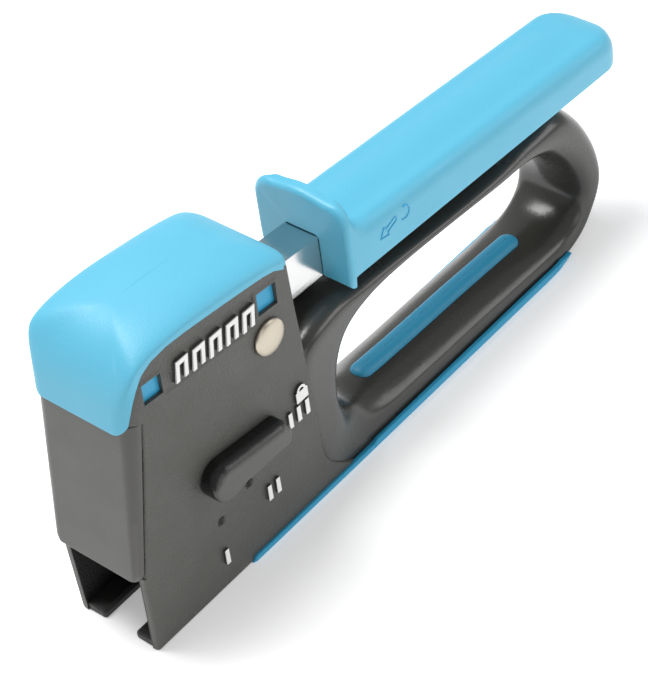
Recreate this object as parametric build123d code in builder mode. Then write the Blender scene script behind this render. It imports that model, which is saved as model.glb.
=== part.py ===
from build123d import *
import math
import os

os.makedirs("parts", exist_ok=True)

# Hand staple gun in millimetres. X runs from the nose edge towards the handle end, +Z is up, and the
# centre plane is y = 0. The origin is where staples leave the nose, on the plane that the gun stands on.

# ---- driving dimensions ----
wall = 2.2                # shell wall
nose_half = 13.65         # half width of the head at the base
draft = 0.0345            # widening of the head per millimetre of height, each side
loop_half = 12.6          # half width of the grip loop
head_rear_low = 67.5      # rear edge of the head panel at its lower end
head_rear_high = 63.2     # and at its upper end
plate_foot = 27.6         # height of the front plate's lower edge
plate_lean = 0.143        # how far the front leans back per millimetre of height
lip = 2.6                 # thickness of the lips under the nose
lip_gap_half = 5.3        # half of the gap between them

pivot_x, pivot_z = 53.0, 69.0
pin_r = 3.0
running = 0.06            # radial play of a turning joint
knob_x, knob_z = 28.5, 41.0
knob_end_r = 5.5          # rounding of the knob round its shaft
shaft_r = 2.5
ball_r = 1.3              # detent dimples
dimple_orbit = 17.1       # distance of the detent dimples from the knob's axis
position_angles = (-3.5, -50.0, -91.5)

fork_reach = 37.0         # from the pivot to the centre of a fork tip
fork_tip_angle = 20.0     # above the horizontal with the handle down
fork_tip_r = 2.2
driver_x = 6.7            # middle of the driver blade
spring_x = 14.5
plunger_z = 48.0          # underside of the raised plunger
plunger_stroke = 15.5
magazine_front = 24.6     # front of the nose piece with the magazine drawn back
magazine_top = 16.5
staple_count = 20


def head_half(z):
    """Half width of the head at height z."""
    return nose_half + draft * z


def head_section(inset):
    """Corners of the head's drafted cross-section, seen along X, moved in by inset."""
    high = 110.0
    low = -5.0
    return [
        (-head_half(low) + inset, low),
        (head_half(low) - inset, low),
        (head_half(high) - inset, high),
        (-head_half(high) + inset, high),
    ]


def on_circle(x, z, radius, degrees):
    """Point on a circle in the side view."""
    turn = math.radians(degrees)
    return (x + radius * math.cos(turn), z + radius * math.sin(turn))


def finish(piece, name):
    """Label one finished piece and write it out."""
    piece.part.label = name
    export_step(piece.part, "parts/" + name + ".step")


# Plane.XZ looks along +Y, so extruding from it by a positive amount goes towards -Y, the left side.
side = Plane.XZ

# ---- housing ----
# The drafted block that both head shells, the front plate and the cap are cut from.
with BuildPart() as head_outer:
    with BuildSketch(Plane.YZ.offset(-10)):
        Polygon(*head_section(0), align=None)
    extrude(amount=110)

with BuildPart() as head_inner:
    with BuildSketch(Plane.YZ.offset(-10)):
        Polygon(*head_section(wall), align=None)
    extrude(amount=110)

# Side outline of the head panel: nose, leaning front, the edge under the cap, and the rear edge.
with BuildSketch(side) as head_outline:
    with BuildLine():
        Polyline((11.5, 90.6), (8.6, 79.0), (1.4, plate_foot), (0, plate_foot), (0, 0), (82, 0))
        Spline((82, 0), (73.5, 5.5), (head_rear_low, 20), tangents=[(-1, 0.2), (0, 1)])
        Line((head_rear_low, 20), (head_rear_high, 84.5))
        Spline((head_rear_high, 84.5), (54, 88.0), (34, 90.8), (19.5, 92.2), (11.5, 90.6),
                      tangents=[(-0.6, 0.6), (-0.8, -0.6)])
    make_face()

# Side outline of the grip loop with its finger opening: straight runs joined by round corners.
with BuildSketch(side) as loop_outline:
    Polygon((60, 57), (60, 0), (185, 0), (199, 22), (190, 47.8), align=None)
    fillet(loop_outline.vertices().sort_by(Axis.X)[2:], radius=13)
    with BuildSketch(side, mode=Mode.SUBTRACT) as opening_outline:
        Polygon((80.5, 45.6), (78.5, 24), (94, 10.7), (183, 9.6), (187, 27), (171, 39.4), align=None)
        fillet(opening_outline.vertices(), radius=9)

# The hollow of the loop: the same outline, one wall further in.
with BuildSketch(side) as loop_hollow:
    add(loop_outline.sketch)
    offset(amount=-wall)

with BuildPart() as loop_block:
    with BuildSketch(side):
        add(loop_outline.sketch)
    extrude(amount=loop_half)
    with BuildSketch(side):
        add(loop_hollow.sketch)
    extrude(amount=loop_half - wall, mode=Mode.SUBTRACT)

# The room inside the head: magazine bay and mechanism, open at the nose and at the top.
with BuildPart() as head_room:
    with BuildSketch(side):
        with BuildLine():
            Polyline((-5, lip), (-5, 26), (1.0, 26), (7.5, 76), (9.5, 100), (80, 100), (78, 61),
                     (head_rear_low - wall, 55), (head_rear_low - wall, 24), (78, 20), (78, lip), close=True)
        make_face()
    extrude(amount=20)
    add(head_inner.part, mode=Mode.INTERSECT)

screw_r = 1.45
screw_head_r = 2.7
screw_spots = [(46, 47), (61.5, 29), (73, 49), (190.5, 22)]
window_spots = [(13.3, 83.5), (54.2, 80.7)]
window_size = 6.6

# One half of the housing, on the left side of the centre plane.
with BuildPart() as half_shell:
    with BuildSketch(side):
        add(head_outline.sketch)
    extrude(amount=20)
    add(head_outer.part, mode=Mode.INTERSECT)
    add(head_room.part, mode=Mode.SUBTRACT)
    add(loop_block.part)
    # the bay runs on into the web behind the head
    with Locations((39, -5, (lip + 20) / 2)):
        Box(78, 10, 20 - lip, mode=Mode.SUBTRACT)
    with Locations((35, 0, lip / 2)):
        Box(80, 2 * lip_gap_half, 3 * lip, mode=Mode.SUBTRACT)
    with Locations((72, 0, 67)):
        Box(22, 13.0, 24, mode=Mode.SUBTRACT)
    with Locations((46, -9.2, 18.3)):
        Box(40, 6.4, 1.6)
    # ribs under the plunger bumper and pillars for the screws
    with Locations((14.5, -10.6, 28)):
        Box(11, 4.6, 2.0)
    with Locations((19.3, -13.6, 88.4)):
        Box(3.4, 2.8, 1.6)
    for spot in screw_spots:
        reach = head_half(spot[1]) - 0.6 if spot[0] < 66 else loop_half - 0.6
        with BuildSketch(side):
            with Locations(spot):
                Circle(3.4)
        extrude(amount=reach)
    with BuildSketch(side):
        with Locations(*screw_spots):
            Circle(screw_r)
    extrude(amount=6.0, mode=Mode.SUBTRACT)
    with BuildSketch(side):
        with Locations((pivot_x, pivot_z)):
            Circle(pin_r)
        with Locations(*window_spots):
            Rectangle(window_size, window_size)
    extrude(amount=20, mode=Mode.SUBTRACT)
    # seat for the finger pad
    with BuildSketch(Plane.XY.offset(8.3)):
        with Locations((133.5, 0)):
            SlotOverall(73, 6.8)
    extrude(amount=8, mode=Mode.SUBTRACT)


# The left half carries the selector: its shaft hole and the detent dimples.
with BuildPart() as left_shell:
    add(half_shell.part)
    with BuildSketch(side):
        with Locations((knob_x, knob_z)):
            Circle(shaft_r + running)
    extrude(amount=20, mode=Mode.SUBTRACT)
    for angle in position_angles:
        dimple_x, dimple_z = on_circle(knob_x, knob_z, dimple_orbit, angle)
        with Locations((dimple_x, -head_half(dimple_z) - 0.2, dimple_z)):
            Sphere(ball_r, mode=Mode.SUBTRACT)
finish(left_shell, "left_shell")

# The right half is its mirror, with the screws' countersinks.
with BuildPart() as right_shell:
    add(mirror(half_shell.part, about=Plane.XZ))
    for spot in screw_spots:
        outer = head_half(spot[1]) if spot[0] < 66 else loop_half
        with BuildSketch(side.offset(-outer - 1)):
            with Locations(spot):
                Circle(screw_head_r + 0.2)
        extrude(amount=3.4, mode=Mode.SUBTRACT)
        with BuildSketch(side.offset(-outer)):
            with Locations(spot):
                Circle(screw_r)
        extrude(amount=outer, mode=Mode.SUBTRACT)
finish(right_shell, "right_shell")

# Leaning front plate, a shallow channel that closes the head between the shells.
plate_front_low = (-2.5, plate_foot)
plate_top = 74.4
plate_front_high = (plate_front_low[0] + (plate_top - plate_foot) * plate_lean, plate_top)
plate_depth = 3.4
with BuildPart() as front_plate:
    with BuildSketch(side):
        Polygon(plate_front_low, plate_front_high, (plate_front_high[0] + plate_depth, plate_top),
                (plate_front_low[0] + plate_depth, plate_foot), align=None)
    extrude(amount=20, both=True)
    add(head_outer.part, mode=Mode.INTERSECT)
    corners = front_plate.edges().filter_by(lambda e: e.length > 40).group_by(Axis.X)[0]
    fillet(corners, radius=2.6)
    with BuildSketch(side):
        Polygon((plate_front_low[0] + 1.8, 20), (plate_front_high[0] + 1.8 + 15.6 * plate_lean, 90),
                (30, 90), (30, 20), align=None)
    extrude(amount=11.2, both=True, mode=Mode.SUBTRACT)
finish(front_plate, "front_plate")

# Blue cap over the head: a crowned hood with inner tabs that show through the panel's windows.
with BuildPart() as cap_room:
    with BuildSketch(side):
        with BuildLine():
            Polyline((6.4, 70), (6.4, 79), (8.0, 86))
            Spline((8.0, 86), (14.5, 92.6), (25, 95.0), (45, 93.2), (56, 90.6), tangents=[(0.2, 1), (1, -0.3)])
            Polyline((56, 90.6), (61.0, 87.5), (62.4, 84), (62.4, 70), (6.4, 70))
        make_face()
    extrude(amount=20, both=True)
    add(head_inner.part, mode=Mode.INTERSECT)
with BuildPart() as top_cap:
    with BuildSketch(side):
        with BuildLine():
            Line((8.3, 79.3), (7.6, 74.6))
            Line((7.6, 74.6), (3.0, 74.6))
            Line((3.0, 74.6), (3.9, 80.5))
            Spline((3.9, 80.5), (12.5, 93.8), (25, 97.6), (45, 96.0), (57, 93.2), tangents=[(0.15, 1), (1, -0.28)])
            Spline((57, 93.2), (62.6, 89.6), (64.8, 84.6), tangents=[(1, -0.28), (0.1, -1)])
            Line((64.8, 84.6), (head_rear_high + 0.1, 84.7))
            Spline((head_rear_high + 0.1, 84.7), (54, 88.2), (34, 91.0), (19.5, 92.4), (11.2, 90.8),
                   tangents=[(-0.6, 0.6), (-0.8, -0.6)])
            Line((11.2, 90.8), (8.3, 79.3))
        make_face()
    extrude(amount=20, both=True)
    add(head_outer.part, mode=Mode.INTERSECT)
    add(cap_room.part, mode=Mode.SUBTRACT)
    with BuildSketch(side.offset(14.1)):
        with Locations(*window_spots):
            Rectangle(8.2, 8.2)
    extrude(amount=-1.3)
    with BuildSketch(side.offset(-12.8)):
        with Locations(*window_spots):
            Rectangle(8.2, 8.2)
    extrude(amount=-1.3)
    for spot, under_crown in zip(window_spots, (91.2, 92.0)):
        middle = (85 + under_crown) / 2
        with Locations((spot[0], 13.45, middle), (spot[0], -13.45, middle)):
            Box(6, 1.3, under_crown - 85)
finish(top_cap, "top_cap")

# Soft blue edging along the lower edge of each half, tapering to a point round the tail.
with BuildPart() as trim_strip_left:
    with BuildSketch(side.offset(loop_half)):
        with BuildLine():
            Polyline((168, 2.3), (88, 2.3), (87, 1.6), (37, 1.6), (36.2, 0.8), (37, 0), (168, 0))
            Spline((168, 0), (180.5, 1.7), (188.6, 6.6), tangents=[(1, 0), (0.6, 1)])
            Spline((188.6, 6.6), (180, 3.4), (168, 2.3), tangents=[(-0.8, -0.7), (-1, 0)])
        make_face()
    extrude(amount=1.5)
    with BuildSketch(Plane.XY):
        Polygon((30, -10), (30, -nose_half - 0.1), (82.1, -nose_half - 0.1), (82.1, -10), align=None)
    extrude(amount=5, mode=Mode.SUBTRACT)
finish(trim_strip_left, "trim_strip_left")

with BuildPart() as trim_strip_right:
    add(mirror(trim_strip_left.part, about=Plane.XZ))
finish(trim_strip_right, "trim_strip_right")

with BuildPart() as finger_pad:
    with BuildSketch(Plane.XY.offset(8.35)):
        with Locations((133.5, 0)):
            SlotOverall(72.8, 6.6)
    extrude(amount=3.6)
    fillet(finger_pad.faces().sort_by(Axis.Z)[-1].edges(), radius=1.0)
finish(finger_pad, "finger_pad")

# Steel rivet that the lever turns on, with a low domed head at each side.
pivot_face = head_half(pivot_z + 5.2) + 0.02
with BuildPart() as pivot_pin:
    with BuildSketch(side):
        with Locations((pivot_x, pivot_z)):
            Circle(pin_r)
    extrude(amount=pivot_face)
    with BuildSketch(side.offset(pivot_face)):
        with Locations((pivot_x, pivot_z)):
            Circle(5.2)
    extrude(amount=1.8)
    fillet(pivot_pin.faces().sort_by(Axis.Y)[0].edges(), radius=0.7)
    mirror(about=Plane.XZ)
finish(pivot_pin, "pivot_pin")

with BuildPart() as shell_screws:
    for spot in screw_spots:
        outer = head_half(spot[1]) if spot[0] < 66 else loop_half
        with BuildSketch(side.offset(-outer + 2.4)):
            with Locations(spot):
                Circle(screw_r)
        extrude(amount=outer + 3.1)
        with BuildSketch(side.offset(-outer + 2.4)):
            with Locations(spot):
                Circle(screw_head_r)
        extrude(amount=-1.6)
finish(shell_screws, "shell_screws")

# Raised signs on the left side: a row of staples between the windows, and the selector's positions.
sign_height = 0.9
with BuildPart() as staple_emblem:
    emblem_face = side.offset(head_half(80) - 0.35)
    with BuildSketch(emblem_face):
        for number in range(5):
            x = 20.6 + 5.9 * number
            z = 79.6 - 0.63 * number
            Polygon((x, z), (x + 1.2, z), (x + 1.9, z + 4.7), (x + 3.7, z + 4.7), (x + 3.0, z),
                    (x + 4.2, z), (x + 5.1, z + 6.1), (x + 0.9, z + 6.1), align=None)
    extrude(amount=sign_height + 0.35)
finish(staple_emblem, "staple_emblem")

mark_spots = [(59.6, 36.7, 3), (47.2, 19.4, 2), (27.5, 11.4, 1)]
with BuildPart() as position_marks:
    for x, z, count in mark_spots:
        with BuildSketch(side.offset(head_half(z) - 0.2)):
            with Locations((x, z)):
                with GridLocations(3.3, 0, count, 1):
                    Rectangle(1.4, 5.0)
        extrude(amount=sign_height + 0.2)
    with BuildSketch(side.offset(head_half(42) - 0.2)):
        with Locations((61.4, 43.7)):
            Circle(1.7)
            Circle(0.9, mode=Mode.SUBTRACT)
        with Locations((61.4, 42.0)):
            Rectangle(4.4, 3.4)
    extrude(amount=sign_height + 0.2)
finish(position_marks, "position_marks")

# ---- handle ----
hub_r = 8.0
rest_tip = on_circle(pivot_x, pivot_z, fork_reach, 180 - fork_tip_angle)
grip_half = 13.0
flange_half = 15.5
lever_half = 5.5
lever_sheet = 1.5
fork_rivet_r = 1.2
rivet_spots = [(pivot_x + 4.6, pivot_z - 4.6), (pivot_x + 5.2, pivot_z + 4.0)]
with BuildSketch(side) as lever_outline:
    with BuildLine():
        Polyline((47, 61.5), (60, 60.9), (86, 59.7), (174, 55.2), (174, 63.6), (150, 66.6), (86, 72.4),
                 (66, 74.2), (58, 77.2))
        ThreePointArc((58, 77.2), (pivot_x - hub_r, pivot_z + 1), (47, 61.5))
    make_face()

with BuildPart() as lever_arm:
    with BuildSketch(side):
        add(lever_outline.sketch)
    extrude(amount=lever_half, both=True)
    with BuildSketch(side):
        Polygon((30, 40), (30, 100), (62, 100), (62, 74.0), (66, 72.7), (86, 70.9), (150, 65.1), (180, 61.5),
                (180, 40), align=None)
    extrude(amount=lever_half - lever_sheet, both=True, mode=Mode.SUBTRACT)
    with BuildSketch(side):
        with Locations((pivot_x, pivot_z)):
            Circle(pin_r + running)
        with Locations(*rivet_spots):
            Circle(fork_rivet_r)
    extrude(amount=20, both=True, mode=Mode.SUBTRACT)
finish(lever_arm, "lever_arm")

# Two fork plates riveted to the lever's cheeks, reaching forward to lift the plunger.
fork_inner = lever_half + 0.02
fork_sheet = 1.8
with BuildPart() as lift_fork_left:
    with BuildSketch(side.offset(fork_inner)):
        with Locations((pivot_x, pivot_z)):
            Circle(hub_r)
        with BuildLine():
            Polyline((pivot_x - 3.4, pivot_z - 7.2), (rest_tip[0] - 0.8, rest_tip[1] - 2.05),
                     (rest_tip[0] + 0.8, rest_tip[1] + 2.05), (pivot_x + 1.5, pivot_z + 7.8), close=True)
        make_face()
        with Locations(rest_tip):
            Circle(fork_tip_r)
        with Locations((pivot_x, pivot_z)):
            Circle(pin_r + running, mode=Mode.SUBTRACT)
        with Locations(*rivet_spots):
            Circle(fork_rivet_r, mode=Mode.SUBTRACT)
    extrude(amount=fork_sheet)
finish(lift_fork_left, "lift_fork_left")

with BuildPart() as lift_fork_right:
    add(mirror(lift_fork_left.part, about=Plane.XZ))
finish(lift_fork_right, "lift_fork_right")

with BuildPart() as fork_rivets:
    with BuildSketch(side.offset(-fork_inner - fork_sheet)):
        with Locations(*rivet_spots):
            Circle(fork_rivet_r)
    extrude(amount=2 * (fork_inner + fork_sheet))
    with BuildSketch(side):
        Rectangle(400, 400)
    extrude(amount=lever_half - lever_sheet, both=True, mode=Mode.SUBTRACT)
finish(fork_rivets, "fork_rivets")

# Spacer tube between the cheeks, which carries the return spring.
with BuildPart() as pivot_bush:
    with BuildSketch(side):
        with Locations((pivot_x, pivot_z)):
            Circle(4.0)
            Circle(pin_r + running, mode=Mode.SUBTRACT)
    extrude(amount=3.9, both=True)
finish(pivot_bush, "pivot_bush")

# Blue handle moulded round the lever, with a finger guard at its front.
with BuildPart() as handle_grip:
    with BuildSketch(side):
        Polygon((86, 59.2), (210, 52.6), (210, 62.6), (86, 74.4), align=None)
    extrude(amount=grip_half, both=True)
    fillet(handle_grip.edges().filter_by(Axis.Z).group_by(Axis.X)[-1], radius=9)
    with BuildSketch(Plane.YZ.offset(85.6)):
        with Locations((0, 71.0)):
            RectangleRounded(2 * flange_half, 28.4, 5.5)
    extrude(amount=8.6)
    top_edges = handle_grip.faces().filter_by(lambda f: f.normal_at().Z > 0.9).sort_by(Axis.Z)[0].edges()
    fillet(top_edges.filter_by(lambda e: e.center().X > 95), radius=4)
    with Locations((86.5, 0, 66.5)):
        Box(7, 2 * lever_half + 0.6, 13.4, mode=Mode.SUBTRACT)
    add(lever_arm.part, mode=Mode.SUBTRACT)
finish(handle_grip, "handle_grip")

# Torsion spring round the spacer tube: one leg under the lever's web, one down into the housing.
spring_turns = 3.25
with BuildPart() as return_spring:
    with BuildLine() as coil_line:
        Helix(pitch=1.4, height=1.4 * spring_turns, radius=5.0, center=(0, 0, -0.7 * spring_turns))
    with BuildSketch(Plane(origin=coil_line.line @ 0, z_dir=coil_line.line % 0)):
        Circle(0.55)
    sweep()
    with BuildSketch(Plane(origin=coil_line.line @ 0, z_dir=-(coil_line.line % 0))):
        Circle(0.55)
    extrude(amount=9)
    with BuildSketch(Plane(origin=coil_line.line @ 1, z_dir=coil_line.line % 1)):
        Circle(0.55)
    extrude(amount=12)
spring_place = Pos(pivot_x, 0, pivot_z) * Rot(-90, 0, 0) * Rot(0, 0, -90)
with BuildPart() as handle_return_spring:
    add(spring_place * return_spring.part)
finish(handle_return_spring, "handle_return_spring")

# ---- plunger and driver, drawn in the raised position ----
plunger_block = 6.0
strap_inner = 7.9
blade_half = 5.6
strap_outer = 9.3
lift_pin_x = 14.1
lift_pin_z = 82.7
with BuildPart() as plunger:
    with Locations((spring_x, 0, plunger_z + plunger_block / 2)):
        Box(11, 2 * strap_outer, plunger_block)
    with Locations((8.2, 0, plunger_z + plunger_block / 2)):
        Box(1.8, 2 * blade_half, plunger_block)
    for way in (1, -1):
        with Locations((14.3, way * (strap_inner + strap_outer) / 2, (plunger_z + 84.6) / 2)):
            Box(6.4, strap_outer - strap_inner, 84.6 - plunger_z)
    with BuildSketch(Plane.XY.offset(plunger_z + plunger_block)):
        with Locations((spring_x, 0)):
            Circle(2.9)
    extrude(amount=6)
    with BuildSketch(side):
        with Locations((lift_pin_x, lift_pin_z)):
            Circle(1.5)
    extrude(amount=20, both=True, mode=Mode.SUBTRACT)
finish(plunger, "plunger")

with BuildPart() as lift_pins:
    for way in (1, -1):
        with BuildSketch(side.offset(way * 7.35)):
            with Locations((lift_pin_x, lift_pin_z)):
                Circle(1.5)
        extrude(amount=1.95, both=True)
finish(lift_pins, "lift_pins")

blade_thick = 1.2
blade_foot = lip + plunger_stroke + 0.1     # stops just above the lips at the end of its stroke
with BuildPart() as driver_blade:
    with Locations((driver_x, 0, (blade_foot + plunger_z + plunger_block) / 2)):
        Box(blade_thick, 2 * blade_half, plunger_z + plunger_block - blade_foot)
    with Locations((driver_x, 0, plunger_z + 3)):
        with GridLocations(0, 6, 1, 2):
            Cylinder(1.0, 5, rotation=(0, 90, 0), mode=Mode.SUBTRACT)
finish(driver_blade, "driver_blade")

with BuildPart() as blade_rivets:
    with Locations((driver_x - 0.15, 0, plunger_z + 3)):
        with GridLocations(0, 6, 1, 2):
            Cylinder(1.0, blade_thick + 0.3, rotation=(0, 90, 0))
finish(blade_rivets, "blade_rivets")

seat_z = 86.0
main_wire = 0.7
with BuildPart() as main_spring:
    spring_low = plunger_z + plunger_block + main_wire + 0.15
    spring_high = seat_z - main_wire - 0.15
    with BuildLine() as spring_line:
        Helix(pitch=(spring_high - spring_low) / 8, height=spring_high - spring_low, radius=4.2,
              center=(spring_x, 0, spring_low))
    with BuildSketch(Plane(origin=spring_line.line @ 0, z_dir=spring_line.line % 0)):
        Circle(main_wire)
    sweep()
finish(main_spring, "main_spring")

# Steel seat that the main spring pushes up against, held under ribs of the shells.
with BuildPart() as spring_seat:
    with Locations((15.25, 0, seat_z + 0.75)):
        Box(11.5, 25.2, 1.5)
    with Locations((19.3, 0, seat_z + 0.75)):
        Box(3.4, 28.6, 1.5)
    with Locations((spring_x, 0, seat_z - 2.5)):
        Cylinder(2.9, 5)
finish(spring_seat, "spring_seat")

with BuildPart() as plunger_bumper:
    with Locations((14.75, 0, 30.65)):
        Box(11.5, 24.2, 3.1)
    fillet(plunger_bumper.edges().filter_by(Axis.Z), radius=1.5)
finish(plunger_bumper, "plunger_bumper")

# ---- power selector, drawn pointing at its third position ----
knob_base = head_half(45) + 0.3
knob_top = knob_base + 5.2
shaft_grip = 4.0          # how far the shaft reaches into the knob
shaft_start = 9.2
with BuildPart() as selector_knob:
    with BuildSketch(side.offset(knob_base)):
        with Locations(Location((knob_x, knob_z), position_angles[0])):
            Circle(knob_end_r)
            Polygon((0, -knob_end_r), (18, -4.6), (23, -3.8), (24.6, -1.6), (24.6, 3.4), (20.5, 4.8),
                    (0, knob_end_r), align=None)
    extrude(amount=knob_top - knob_base)
    fillet(selector_knob.faces().sort_by(Axis.Y)[0].edges(), radius=0.6)
    with BuildSketch(side.offset(knob_base)):
        with Locations((knob_x, knob_z)):
            Circle(shaft_r)
        with Locations(on_circle(knob_x, knob_z, dimple_orbit, position_angles[0])):
            Circle(ball_r)
    extrude(amount=shaft_grip, mode=Mode.SUBTRACT)
finish(selector_knob, "selector_knob")

with BuildPart() as selector_shaft:
    with BuildSketch(side.offset(shaft_start)):
        with Locations((knob_x, knob_z)):
            Circle(shaft_r)
    extrude(amount=knob_base + shaft_grip - shaft_start)
finish(selector_shaft, "selector_shaft")

# Snail cam inside the head: its radius grows steadily over one turn.
cam_points = [on_circle(0, 0, 4.6 + 3.0 * step / 12, 30 * step) for step in range(12)]
with BuildPart() as power_cam:
    with BuildSketch(side.offset(10.6)):
        with Locations((knob_x, knob_z)):
            Polygon(*cam_points, align=None)
            Circle(shaft_r, mode=Mode.SUBTRACT)
    extrude(amount=1.5)
finish(power_cam, "power_cam")

with BuildPart() as cam_clip:
    with BuildSketch(side.offset(9.6)):
        with Locations((knob_x, knob_z)):
            Circle(4.2)
            Circle(shaft_r, mode=Mode.SUBTRACT)
        with Locations((knob_x + 3, knob_z)):
            Rectangle(6, 1.6, mode=Mode.SUBTRACT)
    extrude(amount=0.8)
finish(cam_clip, "cam_clip")

detent_x, detent_z = on_circle(knob_x, knob_z, dimple_orbit, position_angles[0])
with BuildPart() as detent_ball:
    with Locations((detent_x, -knob_base - 0.65, detent_z)):
        Sphere(1.1)
finish(detent_ball, "detent_ball")

with BuildPart() as detent_coil:
    with BuildLine() as detent_line:
        Helix(pitch=0.6, height=1.5, radius=0.85)
    with BuildSketch(Plane(origin=detent_line.line @ 0, z_dir=detent_line.line % 0)):
        Circle(0.2)
    sweep()
with BuildPart() as detent_spring:
    add(Pos(detent_x, -knob_base - 2.0, detent_z) * Rot(90, 0, 0) * detent_coil.part)
finish(detent_spring, "detent_spring")

# ---- magazine, drawn back from the nose ----
channel_half = 7.2
sheet = 0.9
channel_start = magazine_front + 3.0
channel_end = 66.0
magazine_foot = 3.0
with BuildPart() as magazine_channel:
    with BuildSketch(Plane.YZ.offset(channel_start)):
        with Locations((0, (magazine_foot + magazine_top) / 2)):
            Rectangle(2 * channel_half, magazine_top - magazine_foot)
        with Locations((0, (magazine_foot + magazine_top) / 2 - sheet)):
            Rectangle(2 * (channel_half - sheet), magazine_top - magazine_foot, mode=Mode.SUBTRACT)
    extrude(amount=channel_end - channel_start)
finish(magazine_channel, "magazine_channel")

rail_half = 4.9
rail_top = 13.8
with BuildPart() as staple_rail:
    with BuildSketch(Plane.YZ.offset(channel_start)):
        with Locations((0, (3.4 + rail_top) / 2)):
            Rectangle(2 * rail_half, rail_top - 3.4)
        with Locations((0, (3.4 + rail_top) / 2 - sheet)):
            Rectangle(2 * (rail_half - sheet), rail_top - 3.4, mode=Mode.SUBTRACT)
    extrude(amount=channel_end - channel_start)
finish(staple_rail, "staple_rail")

with BuildPart() as nose_piece:
    with BuildSketch(Plane.XY.offset(magazine_foot)):
        with Locations((magazine_front + 4, 0)):
            Rectangle(8, 2 * (channel_half + 1.0))
        with Locations((magazine_front + 5.2, 0)):
            Rectangle(8, 2 * channel_half, mode=Mode.SUBTRACT)
    extrude(amount=magazine_top - magazine_foot)
finish(nose_piece, "nose_piece")

with BuildPart() as staple_stick:
    for number in range(staple_count):
        with BuildSketch(Plane.YZ.offset(channel_start + 0.1 + 1.02 * number)):
            with Locations((0, 10.0)):
                Rectangle(11.4, 9.4)
            with Locations((0, 9.3)):
                Rectangle(10.2, 9.4, mode=Mode.SUBTRACT)
        extrude(amount=0.98)
finish(staple_stick, "staple_stick")

follower_start = channel_start + 0.3 + 1.02 * staple_count
with BuildPart() as follower:
    with BuildSketch(Plane.YZ.offset(follower_start)):
        with Locations((0, 9.9)):
            Rectangle(12.2, 11.0)
        with Locations((0, 8.9)):
            Rectangle(10.2, 11.0, mode=Mode.SUBTRACT)
    extrude(amount=6)
finish(follower, "follower")

with BuildPart() as pusher_coil:
    with BuildLine() as pusher_line:
        Helix(pitch=1.5, height=18, radius=2.2)
    with BuildSketch(Plane(origin=pusher_line.line @ 0, z_dir=pusher_line.line % 0)):
        Circle(0.35)
    sweep()
with BuildPart() as pusher_spring:
    add(Pos(channel_start + 2, 0, 8.2) * Rot(0, 90, 0) * pusher_coil.part)
finish(pusher_spring, "pusher_spring")

# Plastic end of the magazine with the thumb tab that reaches down between the lips.
with BuildPart() as magazine_end:
    with Locations((71.5, 0, (magazine_foot + magazine_top) / 2)):
        Box(11, 2 * channel_half, magazine_top - magazine_foot)
    with Locations((70, 0, 1.7)):
        Box(8, 9.6, 2.6)
    fillet(magazine_end.edges().filter_by(Axis.Z).group_by(Axis.X)[-1], radius=1.5)
finish(magazine_end, "magazine_end")
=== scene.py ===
import math

import bmesh
import bpy
import numpy as np
from mathutils import Matrix, Vector


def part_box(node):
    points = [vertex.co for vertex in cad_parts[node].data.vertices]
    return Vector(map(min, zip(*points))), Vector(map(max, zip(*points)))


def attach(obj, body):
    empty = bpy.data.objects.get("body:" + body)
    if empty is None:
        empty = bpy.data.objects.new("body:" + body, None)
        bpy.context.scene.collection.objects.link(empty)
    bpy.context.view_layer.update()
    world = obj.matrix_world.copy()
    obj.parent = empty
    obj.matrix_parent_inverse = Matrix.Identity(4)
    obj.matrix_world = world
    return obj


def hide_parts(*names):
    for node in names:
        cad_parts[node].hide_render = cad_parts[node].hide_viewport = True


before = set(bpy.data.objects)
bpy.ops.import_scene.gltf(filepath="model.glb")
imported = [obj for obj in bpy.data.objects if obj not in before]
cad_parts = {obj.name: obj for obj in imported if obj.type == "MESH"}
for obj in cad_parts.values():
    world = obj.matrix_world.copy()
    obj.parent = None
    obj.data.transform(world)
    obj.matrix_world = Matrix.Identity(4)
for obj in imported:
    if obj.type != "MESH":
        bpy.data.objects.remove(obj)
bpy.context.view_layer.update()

# Studio: a plain pale paper floor, one large soft box overhead, two weaker fills on the left side and an
# even white sky. The gun stands on the floor.
floor_mesh = bpy.data.meshes.new("floor")
floor_mesh.from_pydata([(-6, -6, 0), (6, -6, 0), (6, 6, 0), (-6, 6, 0)], [], [(0, 1, 2, 3)])
floor = bpy.data.objects.new("floor", floor_mesh)
bpy.context.scene.collection.objects.link(floor)
paper = bpy.data.materials.new("studio_paper")
paper.use_nodes = True
paper_shader = paper.node_tree.nodes["Principled BSDF"]
paper_shader.inputs["Base Color"].default_value = (0.93, 0.93, 0.93, 1)
paper_shader.inputs["Roughness"].default_value = 0.9
paper_shader.inputs["Specular IOR Level"].default_value = 0.1
paper_shader.inputs["Emission Color"].default_value = (1, 1, 1, 1)
paper_shader.inputs["Emission Strength"].default_value = 0.3
floor_mesh.materials.append(paper)


def area_light(name, place, aim, size, power):
    """A square soft box at place, turned towards aim."""
    data = bpy.data.lights.new(name, "AREA")
    data.shape = "SQUARE"
    data.size = size
    data.energy = power
    lamp = bpy.data.objects.new(name, data)
    bpy.context.scene.collection.objects.link(lamp)
    lamp.location = place
    lamp.rotation_mode = "QUATERNION"
    lamp.rotation_quaternion = (Vector(aim) - Vector(place)).to_track_quat("-Z", "Y")


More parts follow.
